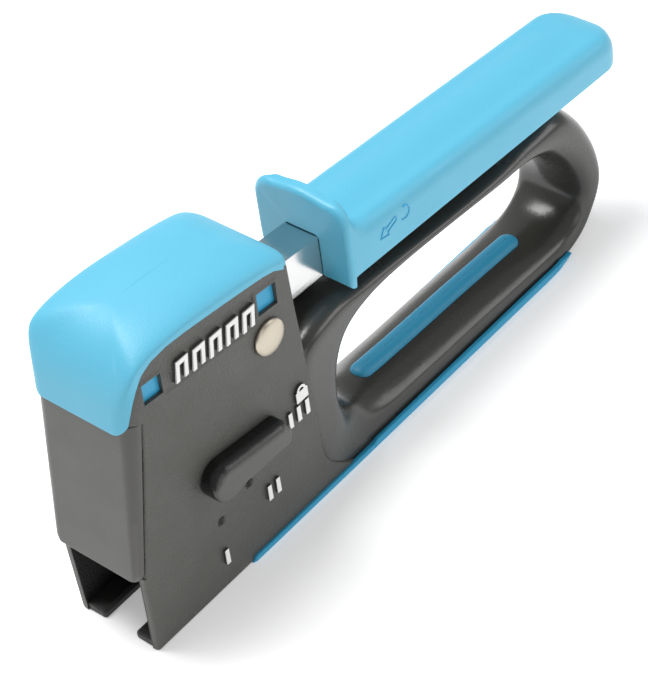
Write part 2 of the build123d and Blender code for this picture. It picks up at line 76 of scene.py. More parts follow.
middle_of_gun = (0.10, 0.0, 0.04)
area_light("key_light", (0.0, 0.35, 1.10), middle_of_gun, 0.6, 14.0)
area_light("side_fill", (-0.25, -1.1, 0.45), middle_of_gun, 0.6, 1.3)
area_light("tail_fill", (0.75, -0.75, 0.5), middle_of_gun, 0.5, 2.0)
sky = bpy.data.worlds.new("sky")
sky.use_nodes = True
sky.node_tree.nodes["Background"].inputs["Color"].default_value = (1, 1, 1, 1)
sky.node_tree.nodes["Background"].inputs["Strength"].default_value = 0.40
bpy.context.scene.world = sky
bpy.context.scene.view_settings.view_transform = "Standard"

# Camera: a long lens, rolled a little, looking down on the nose and the left side.
camera_data = bpy.data.cameras.new("camera")
camera_data.lens = 128.6
camera_data.sensor_width = 36.0
camera = bpy.data.objects.new("camera", camera_data)
bpy.context.scene.collection.objects.link(camera)
azimuth, elevation, roll = (math.radians(a) for a in (-44.49, 42.68, -8.64))
level_part = math.cos(elevation)
back = Vector((math.sin(azimuth) * level_part, -math.cos(azimuth) * level_part, math.sin(elevation)))
camera.rotation_mode = "QUATERNION"
camera.rotation_quaternion = (-back).to_track_quat("-Z", "Y") @ Matrix.Rotation(roll, 3, "Z").to_quaternion()
camera.location = (-0.2556, -0.3489, 0.4800)
camera_data.clip_start = 0.01
camera_data.clip_end = 30
bpy.context.scene.camera = camera

# Head sides: two black glass-filled nylon mouldings, each a 2.3 mm wall that widens upwards. Two windows
# take the cap's tabs, a sunken band takes the emblem, and the left one has detent dimples and a slot.
# They are mirror halves that meet on the centre plane and are screwed together from the right.
foot_half, draft = 13.65, 0.0345


def head_half(z):
    """Half width of the head in mm: foot_half + draft * z."""
    return foot_half + draft * z


def middle(node):
    """Middle of a CAD node's box seen from the side, x and z in mm."""
    low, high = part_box(node)
    return round(500 * (low.x + high.x), 2), round(500 * (low.z + high.z), 2)


def step(low, high, value):
    """Smooth step from 0 at low to 1 at high: t * t * (3 - 2 t), t the clipped fraction."""
    t = np.clip((value - low) / (high - low), 0, 1)
    return t * t * (3 - 2 * t)


def fall_away(distance, radius):
    """Depth of a rounded edge: radius - sqrt(radius^2 - (radius - distance)^2) up to the radius, then 0."""
    inside = radius - np.clip(distance, 0, radius)
    return radius - np.sqrt(np.maximum(radius ** 2 - inside ** 2, 0))


def solid(name, rows, body, material, replaced=(), ring=False, ends=(True, True)):
    """Mesh through rows of closed loops in mm: quads between neighbouring loops, and each end closed by
    a strip that joins point k to point n - 1 - k. Points that coincide become one vertex."""
    count, around = rows.shape[:2]
    points, place = np.unique(np.round(rows.reshape(-1, 3), 4) + 0.0, axis=0, return_inverse=True)
    place = place.reshape(count, around)
    along = place if not ring else np.vstack([place, place[:1]])
    quads = np.stack([along[:-1], np.roll(along[:-1], -1, 1), np.roll(along[1:], -1, 1), along[1:]], -1)
    faces = quads.reshape(-1, 4).tolist()
    half = around // 2
    for wanted, loop in zip(ends, (place[0], place[-1])):
        if wanted and not ring:
            far = loop[::-1]
            faces += [[loop[k], loop[k + 1], far[k + 1], far[k]] for k in range(half - 1)]
    kept = {}
    for face in faces:
        corners = list(dict.fromkeys(int(c) for c in face))
        if len(corners) > 2:
            kept.setdefault(tuple(sorted(corners)), corners)
    mesh = bpy.data.meshes.new(name)
    mesh.from_pydata((points / 1000).tolist(), [], list(kept.values()))
    shape = bmesh.new()
    shape.from_mesh(mesh)
    loose = [v for v in shape.verts if not v.link_faces]
    bmesh.ops.delete(shape, geom=loose, context="VERTS")
    bmesh.ops.recalc_face_normals(shape, faces=shape.faces)
    shape.to_mesh(mesh)
    shape.free()
    mesh.polygons.foreach_set("use_smooth", np.ones(len(mesh.polygons), dtype=bool))
    mesh.set_sharp_from_angle(angle=math.radians(42))
    mesh.materials.append(material)
    piece = bpy.data.objects.new(name, mesh)
    bpy.context.scene.collection.objects.link(piece)
    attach(piece, body)
    if replaced:
        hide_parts(*replaced)
    return piece


def skin(name, colour, roughness, metal=0.0, grain=(2200, 0.00006), mottle=0.06, worn=(0.3, 0.3, 0.3),
         wear=0.25, stretch=(1, 1, 1), coat=0.0, painted_recess_shade=0.0):
    """Moulded or metal skin in object space: base colour mixed towards the worn colour where the surface is
    most convex, roughness +- mottle by a coarse noise, height from a fine noise stretched along one axis.
    With a shade depth, faces more than that many mm inside the drafted side get painted shade: near-black."""
    material = bpy.data.materials.new(name)
    material.use_nodes = True
    tree = material.node_tree
    nodes, link = tree.nodes, tree.links.new
    shader = nodes["Principled BSDF"]
    shader.inputs["Metallic"].default_value = metal
    shader.inputs["Coat Weight"].default_value = coat
    shader.inputs["Coat Roughness"].default_value = 0.2
    place = nodes.new("ShaderNodeTexCoord").outputs["Object"]
    mapped = nodes.new("ShaderNodeMapping")
    mapped.inputs["Scale"].default_value = stretch
    link(place, mapped.inputs["Vector"])
    fine = nodes.new("ShaderNodeTexNoise")
    fine.inputs["Scale"].default_value = grain[0]
    fine.inputs["Detail"].default_value = 3
    link(mapped.outputs["Vector"], fine.inputs["Vector"])
    bump = nodes.new("ShaderNodeBump")
    bump.inputs["Distance"].default_value = grain[1]
    link(fine.outputs["Fac"], bump.inputs["Height"])
    link(bump.outputs["Normal"], shader.inputs["Normal"])
    broad = nodes.new("ShaderNodeTexNoise")
    broad.inputs["Scale"].default_value = 90
    broad.inputs["Detail"].default_value = 5
    link(place, broad.inputs["Vector"])
    rough = nodes.new("ShaderNodeMapRange")
    rough.inputs["From Min"].default_value = 0.3
    rough.inputs["From Max"].default_value = 0.7
    rough.inputs["To Min"].default_value = roughness - mottle
    rough.inputs["To Max"].default_value = roughness + mottle
    link(broad.outputs["Fac"], rough.inputs["Value"])
    link(rough.outputs["Result"], shader.inputs["Roughness"])
    edge = nodes.new("ShaderNodeMapRange")
    edge.inputs["From Min"].default_value = 0.53
    edge.inputs["From Max"].default_value = 0.64
    edge.inputs["To Max"].default_value = wear
    link(nodes.new("ShaderNodeNewGeometry").outputs["Pointiness"], edge.inputs["Value"])
    patchy = nodes.new("ShaderNodeMath")
    patchy.operation = "MULTIPLY"
    link(edge.outputs["Result"], patchy.inputs[0])
    link(broad.outputs["Fac"], patchy.inputs[1])
    tint = nodes.new("ShaderNodeMix")
    tint.data_type = "RGBA"
    tint.inputs["A"].default_value = (*colour, 1)
    tint.inputs["B"].default_value = (*worn, 1)
    link(patchy.outputs["Value"], tint.inputs["Factor"])
    link(tint.outputs["Result"], shader.inputs["Base Color"])
    # Painted shade: faces deeper than the given depth turn near-black, for the shade in grooves and gaps.
    if painted_recess_shade:
        split = nodes.new("ShaderNodeSeparateXYZ")
        link(place, split.inputs["Vector"])
        width = nodes.new("ShaderNodeMath")
        width.operation = "ABSOLUTE"
        link(split.outputs["Y"], width.inputs[0])
        depth = nodes.new("ShaderNodeMath")
        depth.operation = "MULTIPLY_ADD"
        depth.inputs[1].default_value = -draft
        link(split.outputs["Z"], depth.inputs[0])
        link(width.outputs["Value"], depth.inputs[2])
        outside = nodes.new("ShaderNodeMath")
        outside.operation = "GREATER_THAN"
        outside.inputs[1].default_value = (foot_half - painted_recess_shade) / 1000
        link(depth.outputs["Value"], outside.inputs[0])
        inner = nodes.new("ShaderNodeMix")
        inner.data_type = "RGBA"
        inner.inputs["A"].default_value = (0.004, 0.004, 0.004, 1)
        link(outside.outputs["Value"], inner.inputs["Factor"])
        link(tint.outputs["Result"], inner.inputs["B"])
        link(inner.outputs["Result"], shader.inputs["Base Color"])
    return material


# the cap's rim, which the panels' upper edges run under
rim_x = [2.8, 3.1, 3.9, 4.7, 5.2, 6.0, 7.0, 9.7, 13.5, 19.5, 26.3, 33.7, 40.6, 47.7, 53.7, 58, 61.4, 63, 65]
rim_z = [74.6, 74.9, 76.0, 77.4, 80.2, 83.8, 86.6, 90.0, 91.7, 92.3, 91.8, 90.9, 90.0, 89.0, 88.1, 87.0, 84.9,
         84.0, 83.6]
wall, cap_overlap = 2.3, 0.1
windows = [(13.4, 81.45, 3.1), (54.2, 82.8, 3.4)]
window_depth, window_edge, window_lip = 1.5, 0.12, 0.25
band_x, band_level, band_half_x, band_half_z, band_depth = 33.7, 82.2, 16.2, 5.2, 0.3
selector_x, selector_z = middle("selector_shaft")
dimple_orbit, dimple_depth, dimple_angles = 17.1, 1.7, (-3.5, -50, -91.5)
slot_from, slot_to, slot_z, slot_depth = 51.6, 55.4, 31.0, 1.8
plate_foot, plate_top = 27.6, 76.6
offsets = [(w, side * (w[2] + gap)) for w in windows for side in (-1, 1) for gap in (0, window_edge)]
levels = np.unique(np.concatenate([np.linspace(0, 1, 5), np.arange(1.5, 27.4, 0.5), [27.5, 27.7],
                                   np.arange(28.2, 92.1, 0.5), [w[1] + offset for w, offset in offsets]]))
first_column, last_column = 10.0, 62.0
columns = np.unique(np.concatenate([np.arange(first_column, last_column + 0.01, 0.45),
                                    [w[0] + offset for w, offset in offsets]]))
near_edge = 1 - np.cos(np.linspace(0, math.pi / 2, 13))
low_corner = np.clip(1 - levels / 20, 0, 1) ** 2.6
rear_edge = (67.5 - 0.0667 * np.maximum(levels - 20, 0) + 14.5 * low_corner)[:, None]
front_edge = np.interp(levels, [0, 27.5, 27.7, 73.4, 74.2, 79, 86, 92.2],
                       [0, 0, 0.4, 8.7, 4.9, 5.0, 6.2, 9.0])[:, None]
for hand, sign in (("left", -1), ("right", 1)):
    panel_x = np.hstack([front_edge + (first_column - front_edge) * near_edge[:-1],
                         np.repeat(columns[None], len(levels), 0),
                         rear_edge - (rear_edge - last_column) * near_edge[::-1][1:]])
    level = np.repeat(levels[:, None], panel_x.shape[1], 1)
    tilted = level - 0.103 * (panel_x - 33) * step(60, 76, level)
    under_cap = np.interp(panel_x, rim_x, rim_z) + cap_overlap + 0.7 * step(8, 14, panel_x)
    panel_z = np.minimum(tilted + (under_cap - tilted) * step(87.0, levels[-1], level), under_cap)
    depth = fall_away(rear_edge - panel_x, 0.9) + fall_away(panel_z, 0.8)
    depth = depth + fall_away(panel_x - front_edge, 0.8)
    wrap = np.interp(panel_z, [74, 79, 86, 92], [3.4, 4.0, 5.3, 6.6])
    depth = depth + fall_away(panel_x - wrap, 4.6) * (level > 73.8)
    for centre_x, centre_level, size in windows:
        reach = np.maximum(abs(panel_x - centre_x), abs(level - centre_level))
        depth = depth + window_depth * (1 - step(size, size + window_edge, reach))
        depth = depth - window_lip * (1 - step(size + 0.7, size + 1.2, reach))
    band = np.maximum(abs(panel_x - band_x) - band_half_x, abs(level - band_level) - band_half_z)
    depth = depth + band_depth * (1 - step(-0.3, 0.3, band))
    if hand == "left":
        for angle in np.radians(dimple_angles):
            from_dimple = np.hypot(panel_x - selector_x - dimple_orbit * math.cos(angle),
                                   panel_z - selector_z - dimple_orbit * math.sin(angle))
            depth = depth + dimple_depth * (1 - step(0.7, 1.5, from_dimple))
        from_slot = np.hypot(panel_x - np.clip(panel_x, slot_from, slot_to), panel_z - slot_z)
        depth = depth + slot_depth * (1 - step(0.8, 1.4, from_slot))
    outside = np.stack([panel_x, sign * (head_half(panel_z) - depth), panel_z], -1)
    inner_half = head_half(panel_z) - np.maximum(wall, depth + 0.4)
    inside = np.stack([panel_x, sign * inner_half, panel_z], -1)[:, ::-1]
    # The head sides carry painted shade: near-black more than 1.9 mm inside the drafted side, in gaps and
    # grooves.
    solid("head_side_" + hand, np.concatenate([outside, inside], 1), "frame",
          skin("moulded_black_" + hand, (0.066, 0.066, 0.059), 0.46, grain=(1700, 0.0003),
               worn=(0.13, 0.125, 0.12), painted_recess_shade=1.9),
          (hand + "_shell",))

# Foot lips and rear webs: parts of the same two black mouldings. The lips are flanges under the nose that
# leave a slot for the staples; the webs close the head behind the lever.
def carried(section, stations):
    """A closed section (n x 2, y and z) carried along X: one loop at x for each station (x, inset), the
    section drawn in towards its middle by inset mm."""
    middle = section.mean(0)
    away = section - middle
    length = np.hypot(away[:, 0], away[:, 1])[:, None]
    loops = []
    for x, inset in stations:
        yz = middle + away * (length - inset) / length
        loops.append(np.column_stack([np.full(len(yz), x), yz]))
    return np.array(loops)


def rounded(corners, radius, steps=6):
    """Polygon corners replaced by arcs of the radius, as a closed list of points."""
    corners = np.asarray(corners, float)
    before = np.roll(corners, 1, 0) - corners
    after = np.roll(corners, -1, 0) - corners
    before /= np.hypot(*before.T)[:, None]
    after /= np.hypot(*after.T)[:, None]
    half = np.arccos(np.clip((before * after).sum(1), -1, 1)) / 2
    reach = (radius / np.tan(half))[:, None]
    t = np.linspace(0, 1, steps)[None, :, None]
    start, end = (corners + before * reach)[:, None], (corners + after * reach)[:, None]
    tip = corners[:, None]
    return ((1 - t) ** 2 * start + 2 * t * (1 - t) * tip + t ** 2 * end).reshape(-1, 2)


for hand, sign in (("left", -1), ("right", 1)):
    flange_corners = ((5.3, 0), (13.2, 0), (13.2, 2.6), (6.1, 2.6), (5.3, 1.8))
    flange = rounded([(sign * y, z) for y, z in flange_corners], 0.35)
    flange_rows = carried(flange, [(0.3, 0.8), (0.5, 0.3), (1.0, 0), (30, 0), (66, 0), (66.4, 0.4)])
    solid("foot_lip_" + hand, flange_rows, "frame",
          skin("lip_black_" + hand, (0.012, 0.011, 0.010), 0.5, grain=(2400, 0.00015)), (hand + "_shell",))
    web = rounded([(sign * y, z) for y, z in ((6.6, 57), (14.6, 57), (14.9, 85), (6.6, 86))], 0.8)
    web_rows = carried(web, [(60.6, 0.6), (61.2, 0), (63.2, 0), (63.8, 0.6)])
    solid("rear_web_" + hand, web_rows, "frame",
          skin("web_black_" + hand, (0.018, 0.017, 0.016), 0.45, grain=(1500, 0.0002)), (hand + "_shell",))

# Grip loop: the rear of the same two black nylon mouldings, a smooth glossy ring. It has a thin rounded bar
# on top, a tent-shaped bar along the foot and a full round tail; the halves meet on the centre plane.
stations = np.array([
    # inner x, z, outer x, z, inner and outer half width, inner and outer squareness
    (78.2, 29.0, 64.0, 30.0, 14.0, 14.0, 5.0, 6.0),
    (80.8, 37.0, 64.5, 50.0, 13.9, 14.5, 4.2, 6.0),
    (86.5, 43.0, 79.0, 55.2, 13.0, 13.2, 3.2, 4.0),
    (97.6, 46.0, 95.0, 53.2, 12.0, 11.8, 2.6, 3.0),
    (112.0, 46.0, 111.0, 51.4, 11.4, 11.1, 2.4, 2.6),
    (131.6, 44.6, 132.0, 49.4, 11.2, 10.9, 2.3, 2.5),
    (152.0, 42.5, 153.0, 48.4, 11.2, 10.9, 2.3, 2.5),
    (166.5, 40.2, 169.0, 48.9, 10.7, 10.6, 2.3, 2.5),
    (176.5, 35.0, 181.5, 49.6, 11.2, 11.6, 2.2, 2.5),
    (183.5, 28.0, 190.3, 43.2, 11.8, 12.6, 2.6, 2.6),
    (187.2, 20.5, 196.2, 31.5, 12.4, 13.3, 3.0, 2.8),
    (187.2, 14.0, 197.2, 19.5, 12.2, 13.8, 3.0, 3.4),
    (182.5, 9.6, 193.0, 8.6, 10.5, 13.6, 2.2, 3.8),
    (174.5, 8.0, 184.0, 2.0, 9.6, 13.4, 2.0, 6.0),
    (163.0, 8.8, 168.0, 0.0, 9.4, 13.3, 1.75, 9.0),
    (140.0, 9.9, 142.0, 0.0, 9.4, 13.2, 1.7, 9.0),
    (114.0, 10.6, 113.0, 0.0, 9.4, 13.2, 1.7, 9.0),
    (97.0, 11.8, 90.0, 0.0, 9.8, 13.3, 1.9, 8.0),
    (86.0, 15.6, 73.0, 0.2, 11.4, 13.3, 3.4, 8.0),
    (80.0, 21.8, 67.0, 12.0, 13.3, 13.5, 4.6, 7.0),
])


def around_stations(table, count):
    """Periodic Catmull-Rom through the table's rows: count values for each column."""
    t = np.arange(count) * len(table) / count
    k = t.astype(int)
    f = (t - k)[:, None]
    p0, p1, p2, p3 = (table[(k + o) % len(table)] for o in (-1, 0, 1, 2))
    return 0.5 * (2 * p1 + (p2 - p0) * f + (2 * p0 - 5 * p1 + 4 * p2 - p3) * f ** 2
                  + (3 * p1 - p0 - 3 * p2 + p3) * f ** 3)


ring = around_stations(stations, 420)
turn = np.linspace(0, 2 * math.pi, 96, endpoint=False)[None]
squareness = np.where(np.cos(turn) > 0, ring[:, 7:8], ring[:, 6:7])
across = np.sign(np.sin(turn)) * abs(np.sin(turn)) ** (2 / squareness)
outward = (1 + np.sign(np.cos(turn)) * abs(np.cos(turn)) ** (2 / squareness)) / 2
loop_y = across * (ring[:, 4:5] * (1 - outward) + ring[:, 5:6] * outward)
loop_x = ring[:, 0:1] * (1 - outward) + ring[:, 2:3] * outward
loop_z = np.maximum(ring[:, 1:2] * (1 - outward) + ring[:, 3:4] * outward, 0)
solid("grip_loop", np.stack([loop_x, loop_y, loop_z], -1), "frame",
      skin("loop_black", (0.036, 0.036, 0.032), 0.25, grain=(900, 0.00004), mottle=0.05, worn=(0.1, 0.1, 0.1),
           coat=0.25),
      ("left_shell", "right_shell"), ring=True)

# Front plate: a separate pressed cover in satin black steel, leaning back 8 degrees. It is hooked over the
# front of the two shells, its side edges bent back, and its top tucks under the cap.
edge_r, lean = 0.6, 0.143
height = np.concatenate([plate_foot + edge_r * near_edge, np.linspace(plate_foot + 1, plate_top - 1, 60),
                         plate_top - edge_r * near_edge[::-1]])[:, None]
rounding = edge_r * (1 - np.sin(np.linspace(0, math.pi / 2, 13)))
drawn_in = np.concatenate([rounding, np.zeros(60), rounding[::-1]])[:, None]
plate_front = -2.5 + lean * (height - plate_foot) + drawn_in
plate_half = head_half(height) - 0.1 - drawn_in - 0.4 * np.clip(plate_foot + 2 - height, 0, 3)
bend = np.linspace(0, math.pi / 2, 14)[None]
flat = np.linspace(-1, 1, 40)[None, 1:-1]
bend_radius = 2.2 + 0.0342 * (height - plate_foot)
turned_x = plate_front + np.hstack([bend_radius + 0.3, bend_radius + 0.15, bend_radius * (1 - np.sin(bend))])
turned_y = plate_half - np.hstack([0.3 + 0 * height, 0 * height, bend_radius * (1 - np.cos(bend))])
outer_x = np.hstack([turned_x, plate_front + 0 * flat, turned_x[:, ::-1]])
outer_y = np.hstack([-turned_y, turned_y[:, -1:] * flat, turned_y[:, ::-1]])
plate_sheet = 1.8
inner_x = np.maximum(outer_x, plate_front + plate_sheet + 0.1)[:, ::-1]
inner_y = np.clip(outer_y, plate_sheet - plate_half, plate_half - plate_sheet)[:, ::-1]
plate_rows = np.stack([np.hstack([outer_x, inner_x]), np.hstack([outer_y, inner_y]),
                       np.repeat(height, outer_x.shape[1] * 2, 1)], -1)
solid("nose_plate", plate_rows, "frame",
      skin("plate_black", (0.050, 0.049, 0.044), 0.38, grain=(1300, 0.00005), worn=(0.14, 0.13, 0.12),
           coat=0.15),
      ("front_plate",))

# Cap: a sky-blue moulded hood over the top of the head, 1.9 mm thick, with a deep rounded front. It is held
# by two square tabs a side, which snap into the head's windows and show in them.
def hood(outline, medial, base, top, across_r, rise, walls=8, turns=12, crown=12):
    """Rows of a hood over a closed plan outline: straight walls from the base height, a quarter turn of
    across_r by rise, then over the crown to the medial point of each outline point.
    height = top - rise + rise * sin(t) while the plan moves in by across_r * (1 - cos(t))."""
    towards = medial - outline
    span = np.hypot(towards[:, 0], towards[:, 1])[:, None]
    towards = towards / np.maximum(span, 1e-9)
    across_r, rise, base = np.minimum(across_r[:, None], 0.97 * span), rise[:, None], base[:, None]
    loops = []
    for t in np.linspace(0, 1, walls, endpoint=False):
        wall_top = top(outline[:, :1], outline[:, 1:]) - rise
        loops.append(np.hstack([outline, base + t * (wall_top - base)]))
    for t in np.linspace(0, math.pi / 2, turns):
        plan = outline + towards * np.minimum(across_r * (1 - math.cos(t)), span)
        loops.append(np.hstack([plan, top(plan[:, :1], plan[:, 1:]) - rise * (1 - math.sin(t))]))
    for t in np.linspace(0, 1, crown + 1)[1:]:
        plan = outline + towards * (np.minimum(across_r, span) * (1 - t) + span * t)
        loops.append(np.hstack([plan, top(plan[:, :1], plan[:, 1:])]))
    return np.array(loops)


def plan_box(x_low, x_high, half, front_r, rear_r):
    """Closed plan outline: a rectangle along X with rounded corners, the y < 0 half first."""
    quarter = np.linspace(0, math.pi / 2, 24)
    front = np.column_stack([np.full(16, x_low), np.linspace(0, -half + front_r, 16)])
    corner = np.column_stack([x_low + front_r * (1 - np.cos(quarter)),
                              -half + front_r * (1 - np.sin(quarter))])
    flank = np.column_stack([np.linspace(x_low + front_r, x_high - rear_r, 70), np.full(70, -half)])
    turned = np.column_stack([x_high - rear_r * (1 - np.sin(quarter)),
                              -half + rear_r * (1 - np.cos(quarter))])
    back = np.column_stack([np.full(12, x_high), np.linspace(-half + rear_r, 0, 12)])
    side = np.vstack([front, corner[1:], flank[1:], turned[1:], back[1:]])
    return np.vstack([side, side[1:-1][::-1] * (1, -1)])


crown_line = np.polyfit([0, 8, 16, 24, 34, 45, 52, 57, 66],
                        [95.4, 96.5, 97.3, 97.4, 96.8, 95.3, 94.1, 93.0, 90.6], 4)
cap_front, cap_back, cap_half, cap_corner = 2.8, 65.0, 16.41, 5.0


def cap_top(x, y):
    """Crown height in mm: a quartic in x along the middle, less 0.5 (y / cap_half)^2 towards the flanks."""
    return np.polyval(crown_line, x) - 0.5 * (y / cap_half) ** 2


def cap_rows(inset, drop):
    """The cap's outer surface moved in by inset and down by drop; the corners' roll-over is evened out along
    the outline, more so towards the crown."""
    outline = plan_box(cap_front + inset, cap_back - inset, cap_half - inset, cap_corner, cap_corner)
    rim = plan_box(cap_front, cap_back, cap_half, cap_corner, cap_corner)[:, 0]
    x, y = outline[:, 0], abs(outline[:, 1])
    medial = np.column_stack([np.clip(x, 20, 47), np.zeros(len(x))])
    base = np.interp(rim, rim_x, rim_z)
    at_front, at_rear = 1 - step(3, 18, x), step(46, 63, x)
    across_r = 14.0 + 6.0 * at_front + 1.0 * at_rear - inset
    room = cap_top(x, y) - drop - base
    rise = np.minimum(5.2 + 10.0 * at_front + 4.5 * at_rear, room - 1.2)
    rise = np.min([np.roll(rise, k) for k in range(-7, 8)], 0)
    for _ in range(60):
        rise = (np.roll(rise, 1) + 2 * rise + np.roll(rise, -1)) / 4
    rise = np.minimum(rise, room - 0.4)
    loops = hood(outline, medial, base, lambda a, b: cap_top(a, b) - drop, across_r, rise)
    for first in range(9, 21):
        for _ in range(9):
            loops[first:-1] = (np.roll(loops, 1, 1) + 2 * loops + np.roll(loops, -1, 1))[first:-1] / 4
    z = loops[..., 2]
    loops[..., 0] += 0.14 * (np.minimum(z, 86) - 74.6) * np.clip(1 - loops[..., 0] / 25, 0, 1)
    loops[..., 1] *= (head_half(z) + 0.25) / cap_half
    return loops


cap_outer, cap_inner = cap_rows(0, 0), cap_rows(1.9, 2.2)
cap_lip = (cap_outer[:1] + cap_inner[:1]) / 2 - (0, 0, 0.25)
solid("cap_hood", np.concatenate([cap_outer[::-1], cap_lip, cap_inner]), "frame",
      skin("cap_blue", (0.10, 0.44, 0.62), 0.5, grain=(1700, 0.00008), worn=(0.3, 0.65, 0.85), wear=0.2),
      ("top_cap",), ends=(False, False))
for hand, sign in (("left", -1), ("right", 1)):
    for number, (centre_x, centre_level, size) in enumerate(windows):
        centre_z = centre_level - 0.103 * (centre_x - 33)
        tab_corners = ((-3.9, -3.5), (3.9, -4.3), (3.9, 3.5), (-3.9, 4.3))
        square = rounded([(centre_x + x, centre_z + z) for x, z in tab_corners], 0.8, 10)
        full = np.full(len(square), 1.0)
        face = head_half(centre_z) - 0.95
        tab = hood(square, np.tile([[centre_x, centre_z]], (len(square), 1)), (face - 0.9) * full,
                   lambda a, b: face + 0 * a, 0.5 * full, 0.4 * full, 3, 5, 4)
        tab = np.stack([tab[..., 0], sign * tab[..., 2], tab[..., 1]], -1)
        solid("window_tab_%s_%d" % (hand, number + 1), tab, "frame",
              skin("tab_blue_%s_%d" % (hand, number + 1), (0.02, 0.32, 0.55), 0.45, grain=(1700, 0.00006)),
              ("top_cap",))

# Handle: a sky-blue glass-filled nylon grip, moulded as a shell with an open underside and pressed on to the
# steel lever's end. A raised finger guard stands at its front, where the lever goes in.
def arch(half, low, high, corner, fall, crown):
    """Arch section for each station: a wall up from (-half, low), a quarter turn corner by fall, a top line
    bulging by crown * (1 - q^2)^2, and the same back down; columns y and z."""
    t = np.linspace(0, 1, 9)[None]
    quarter = np.linspace(0, math.pi / 2, 10)[None, 1:]
    q = np.linspace(-1, 1, 26)[None, 1:-1]
    left = np.hstack([-half + 0 * t, -half + corner * (1 - np.cos(quarter))])
    left_z = np.hstack([low + t * (high - fall - low), high - fall + fall * np.sin(quarter)])
    y = np.hstack([left, q * (half - corner), -left[:, ::-1]])
    z = np.hstack([left_z, high + crown * (1 - q ** 2) ** 2, left_z[:, ::-1]])
    return y, z


guard_front, tail_start, tail_long, front_r = 85.6, 201, 9, 1.6
guard_edge = guard_front + front_r * near_edge
tail_turn = tail_start + 8.9 * np.sin(np.linspace(0, math.pi / 2, 22))
along_x = np.concatenate([guard_edge, np.arange(87.5, 106, 0.35), np.arange(106.5, 200.5, 1.6), tail_turn])
along_x = along_x[:, None]
guard = np.exp(-(np.maximum(along_x - 89.3, 0) / 2.3) ** 1.35)
side_guard = np.exp(-(np.maximum(along_x - 87.6, 0) / 1.4) ** 1.5)
softened = front_r * (1 - np.sin(np.linspace(0, math.pi / 2, 13)))
softened = np.concatenate([softened, np.zeros(len(along_x) - 13)])[:, None]
past_tail = np.clip((along_x - tail_start) / tail_long, 0, 1)
end_drop = 3.6 * (1 - np.sqrt(1 - np.clip((along_x - 199) / 11, 0, 1) ** 2))
grip_top = 72.4 - 0.0915 * (along_x - 103)
half_width = 13 + 2.5 * side_guard - softened - 9 * (1 - np.sqrt(1 - past_tail ** 2))
lower_line = 58.7 - 0.0536 * (along_x - 88) - 0.3 * side_guard + softened
upper_line = grip_top + (84.1 - grip_top) * guard - softened - end_drop
outer_y, outer_z = arch(half_width, lower_line, upper_line, np.minimum(4.4 + 1.2 * guard, half_width * 0.9),
                        5.2 + 0.8 * guard, (1.5 - 0.5 * guard) * (1 - step(180, 207, along_x)))
outer_y *= 1 - 0.035 * step(0, 1, (66 - 0.09 * (along_x - 88) - outer_z) / 9)
opened = step(94.0, 95.5, along_x)
hollow_end, lever_half, grip_wall = 206.5, 5.7, 2.2
hollow_x = np.minimum(along_x, hollow_end)
closing = np.where(along_x > hollow_end, 0.02, 1.0)
inner_half = (lever_half + (half_width - grip_wall - lever_half) * opened) * closing
inner_top = 72.8 + (np.minimum(upper_line, grip_top) - 2.4 - 72.8) * opened
inner_y, inner_z = arch(np.maximum(inner_half, 0.05), lower_line, inner_top,
                        np.minimum(1.2 + 2 * opened, inner_half * 0.9), 1.2 + 2 * opened, 0.3 * opened)
inner_z = lower_line + (inner_z - lower_line) * closing
grip_outside = np.stack([np.repeat(along_x, outer_y.shape[1], 1), outer_y, outer_z], -1)
grip_inside = np.stack([np.repeat(hollow_x, outer_y.shape[1], 1), inner_y, inner_z], -1)
handle_rows = np.concatenate([grip_outside, grip_inside[:, ::-1]], 1)
solid("grip_shell", handle_rows, "handle",
      skin("grip_blue", (0.10, 0.44, 0.62), 0.42, grain=(1700, 0.00007), worn=(0.3, 0.65, 0.85), wear=0.2),
      ("handle_grip",))

# Handle sign: a small raised arrow and a half circle on each cheek, moulded with the blue grip. They show
# which way the grip moves; each is a fine half-round bead.
arrow = [(107.6, 66.0), (103.6, 64.5), (104.0, 63.3), (100.6, 63.9), (102.2, 67.0), (102.8, 65.9),
         (106.9, 67.3), (107.6, 66.0)]
hook = [(110.6 + 2.0 * math.cos(a), 66.0 + 2.0 * math.sin(a)) for a in np.radians(np.linspace(-130, 95, 24))]
bead_r, cheek_half = 0.22, 12.98
for hand, sign in (("left", -1), ("right", 1)):
    for label, path in (("arrow", arrow), ("hook", hook)):
        corner = np.linspace(0, len(path) - 1, 8 * len(path))
        path_x, path_z = (np.interp(corner, range(len(path)), np.array(path)[:, k]) for k in (0, 1))
        run = np.column_stack([np.gradient(path_x), np.gradient(path_z)])
        run /= np.hypot(*run.T)[:, None]
        bulge = np.linspace(0, 2 * math.pi, 10, endpoint=False)[None]
        fade = np.minimum(1, np.minimum(corner, len(path) - 1 - corner) * 4 + 0.3)[:, None]
        beside = bead_r * fade * np.cos(bulge)
        sign_rows = np.stack([path_x[:, None] - run[:, 1:] * beside,
                              sign * (cheek_half + 0.26 * fade * np.sin(bulge)),
                              path_z[:, None] + run[:, :1] * beside], -1)
        solid("grip_%s_%s" % (label, hand), sign_rows, "handle",
              skin("sign_blue_%s_%s" % (label, hand), (0.03, 0.36, 0.62), 0.4, grain=(1700, 0.00005)),
              ("handle_grip",))

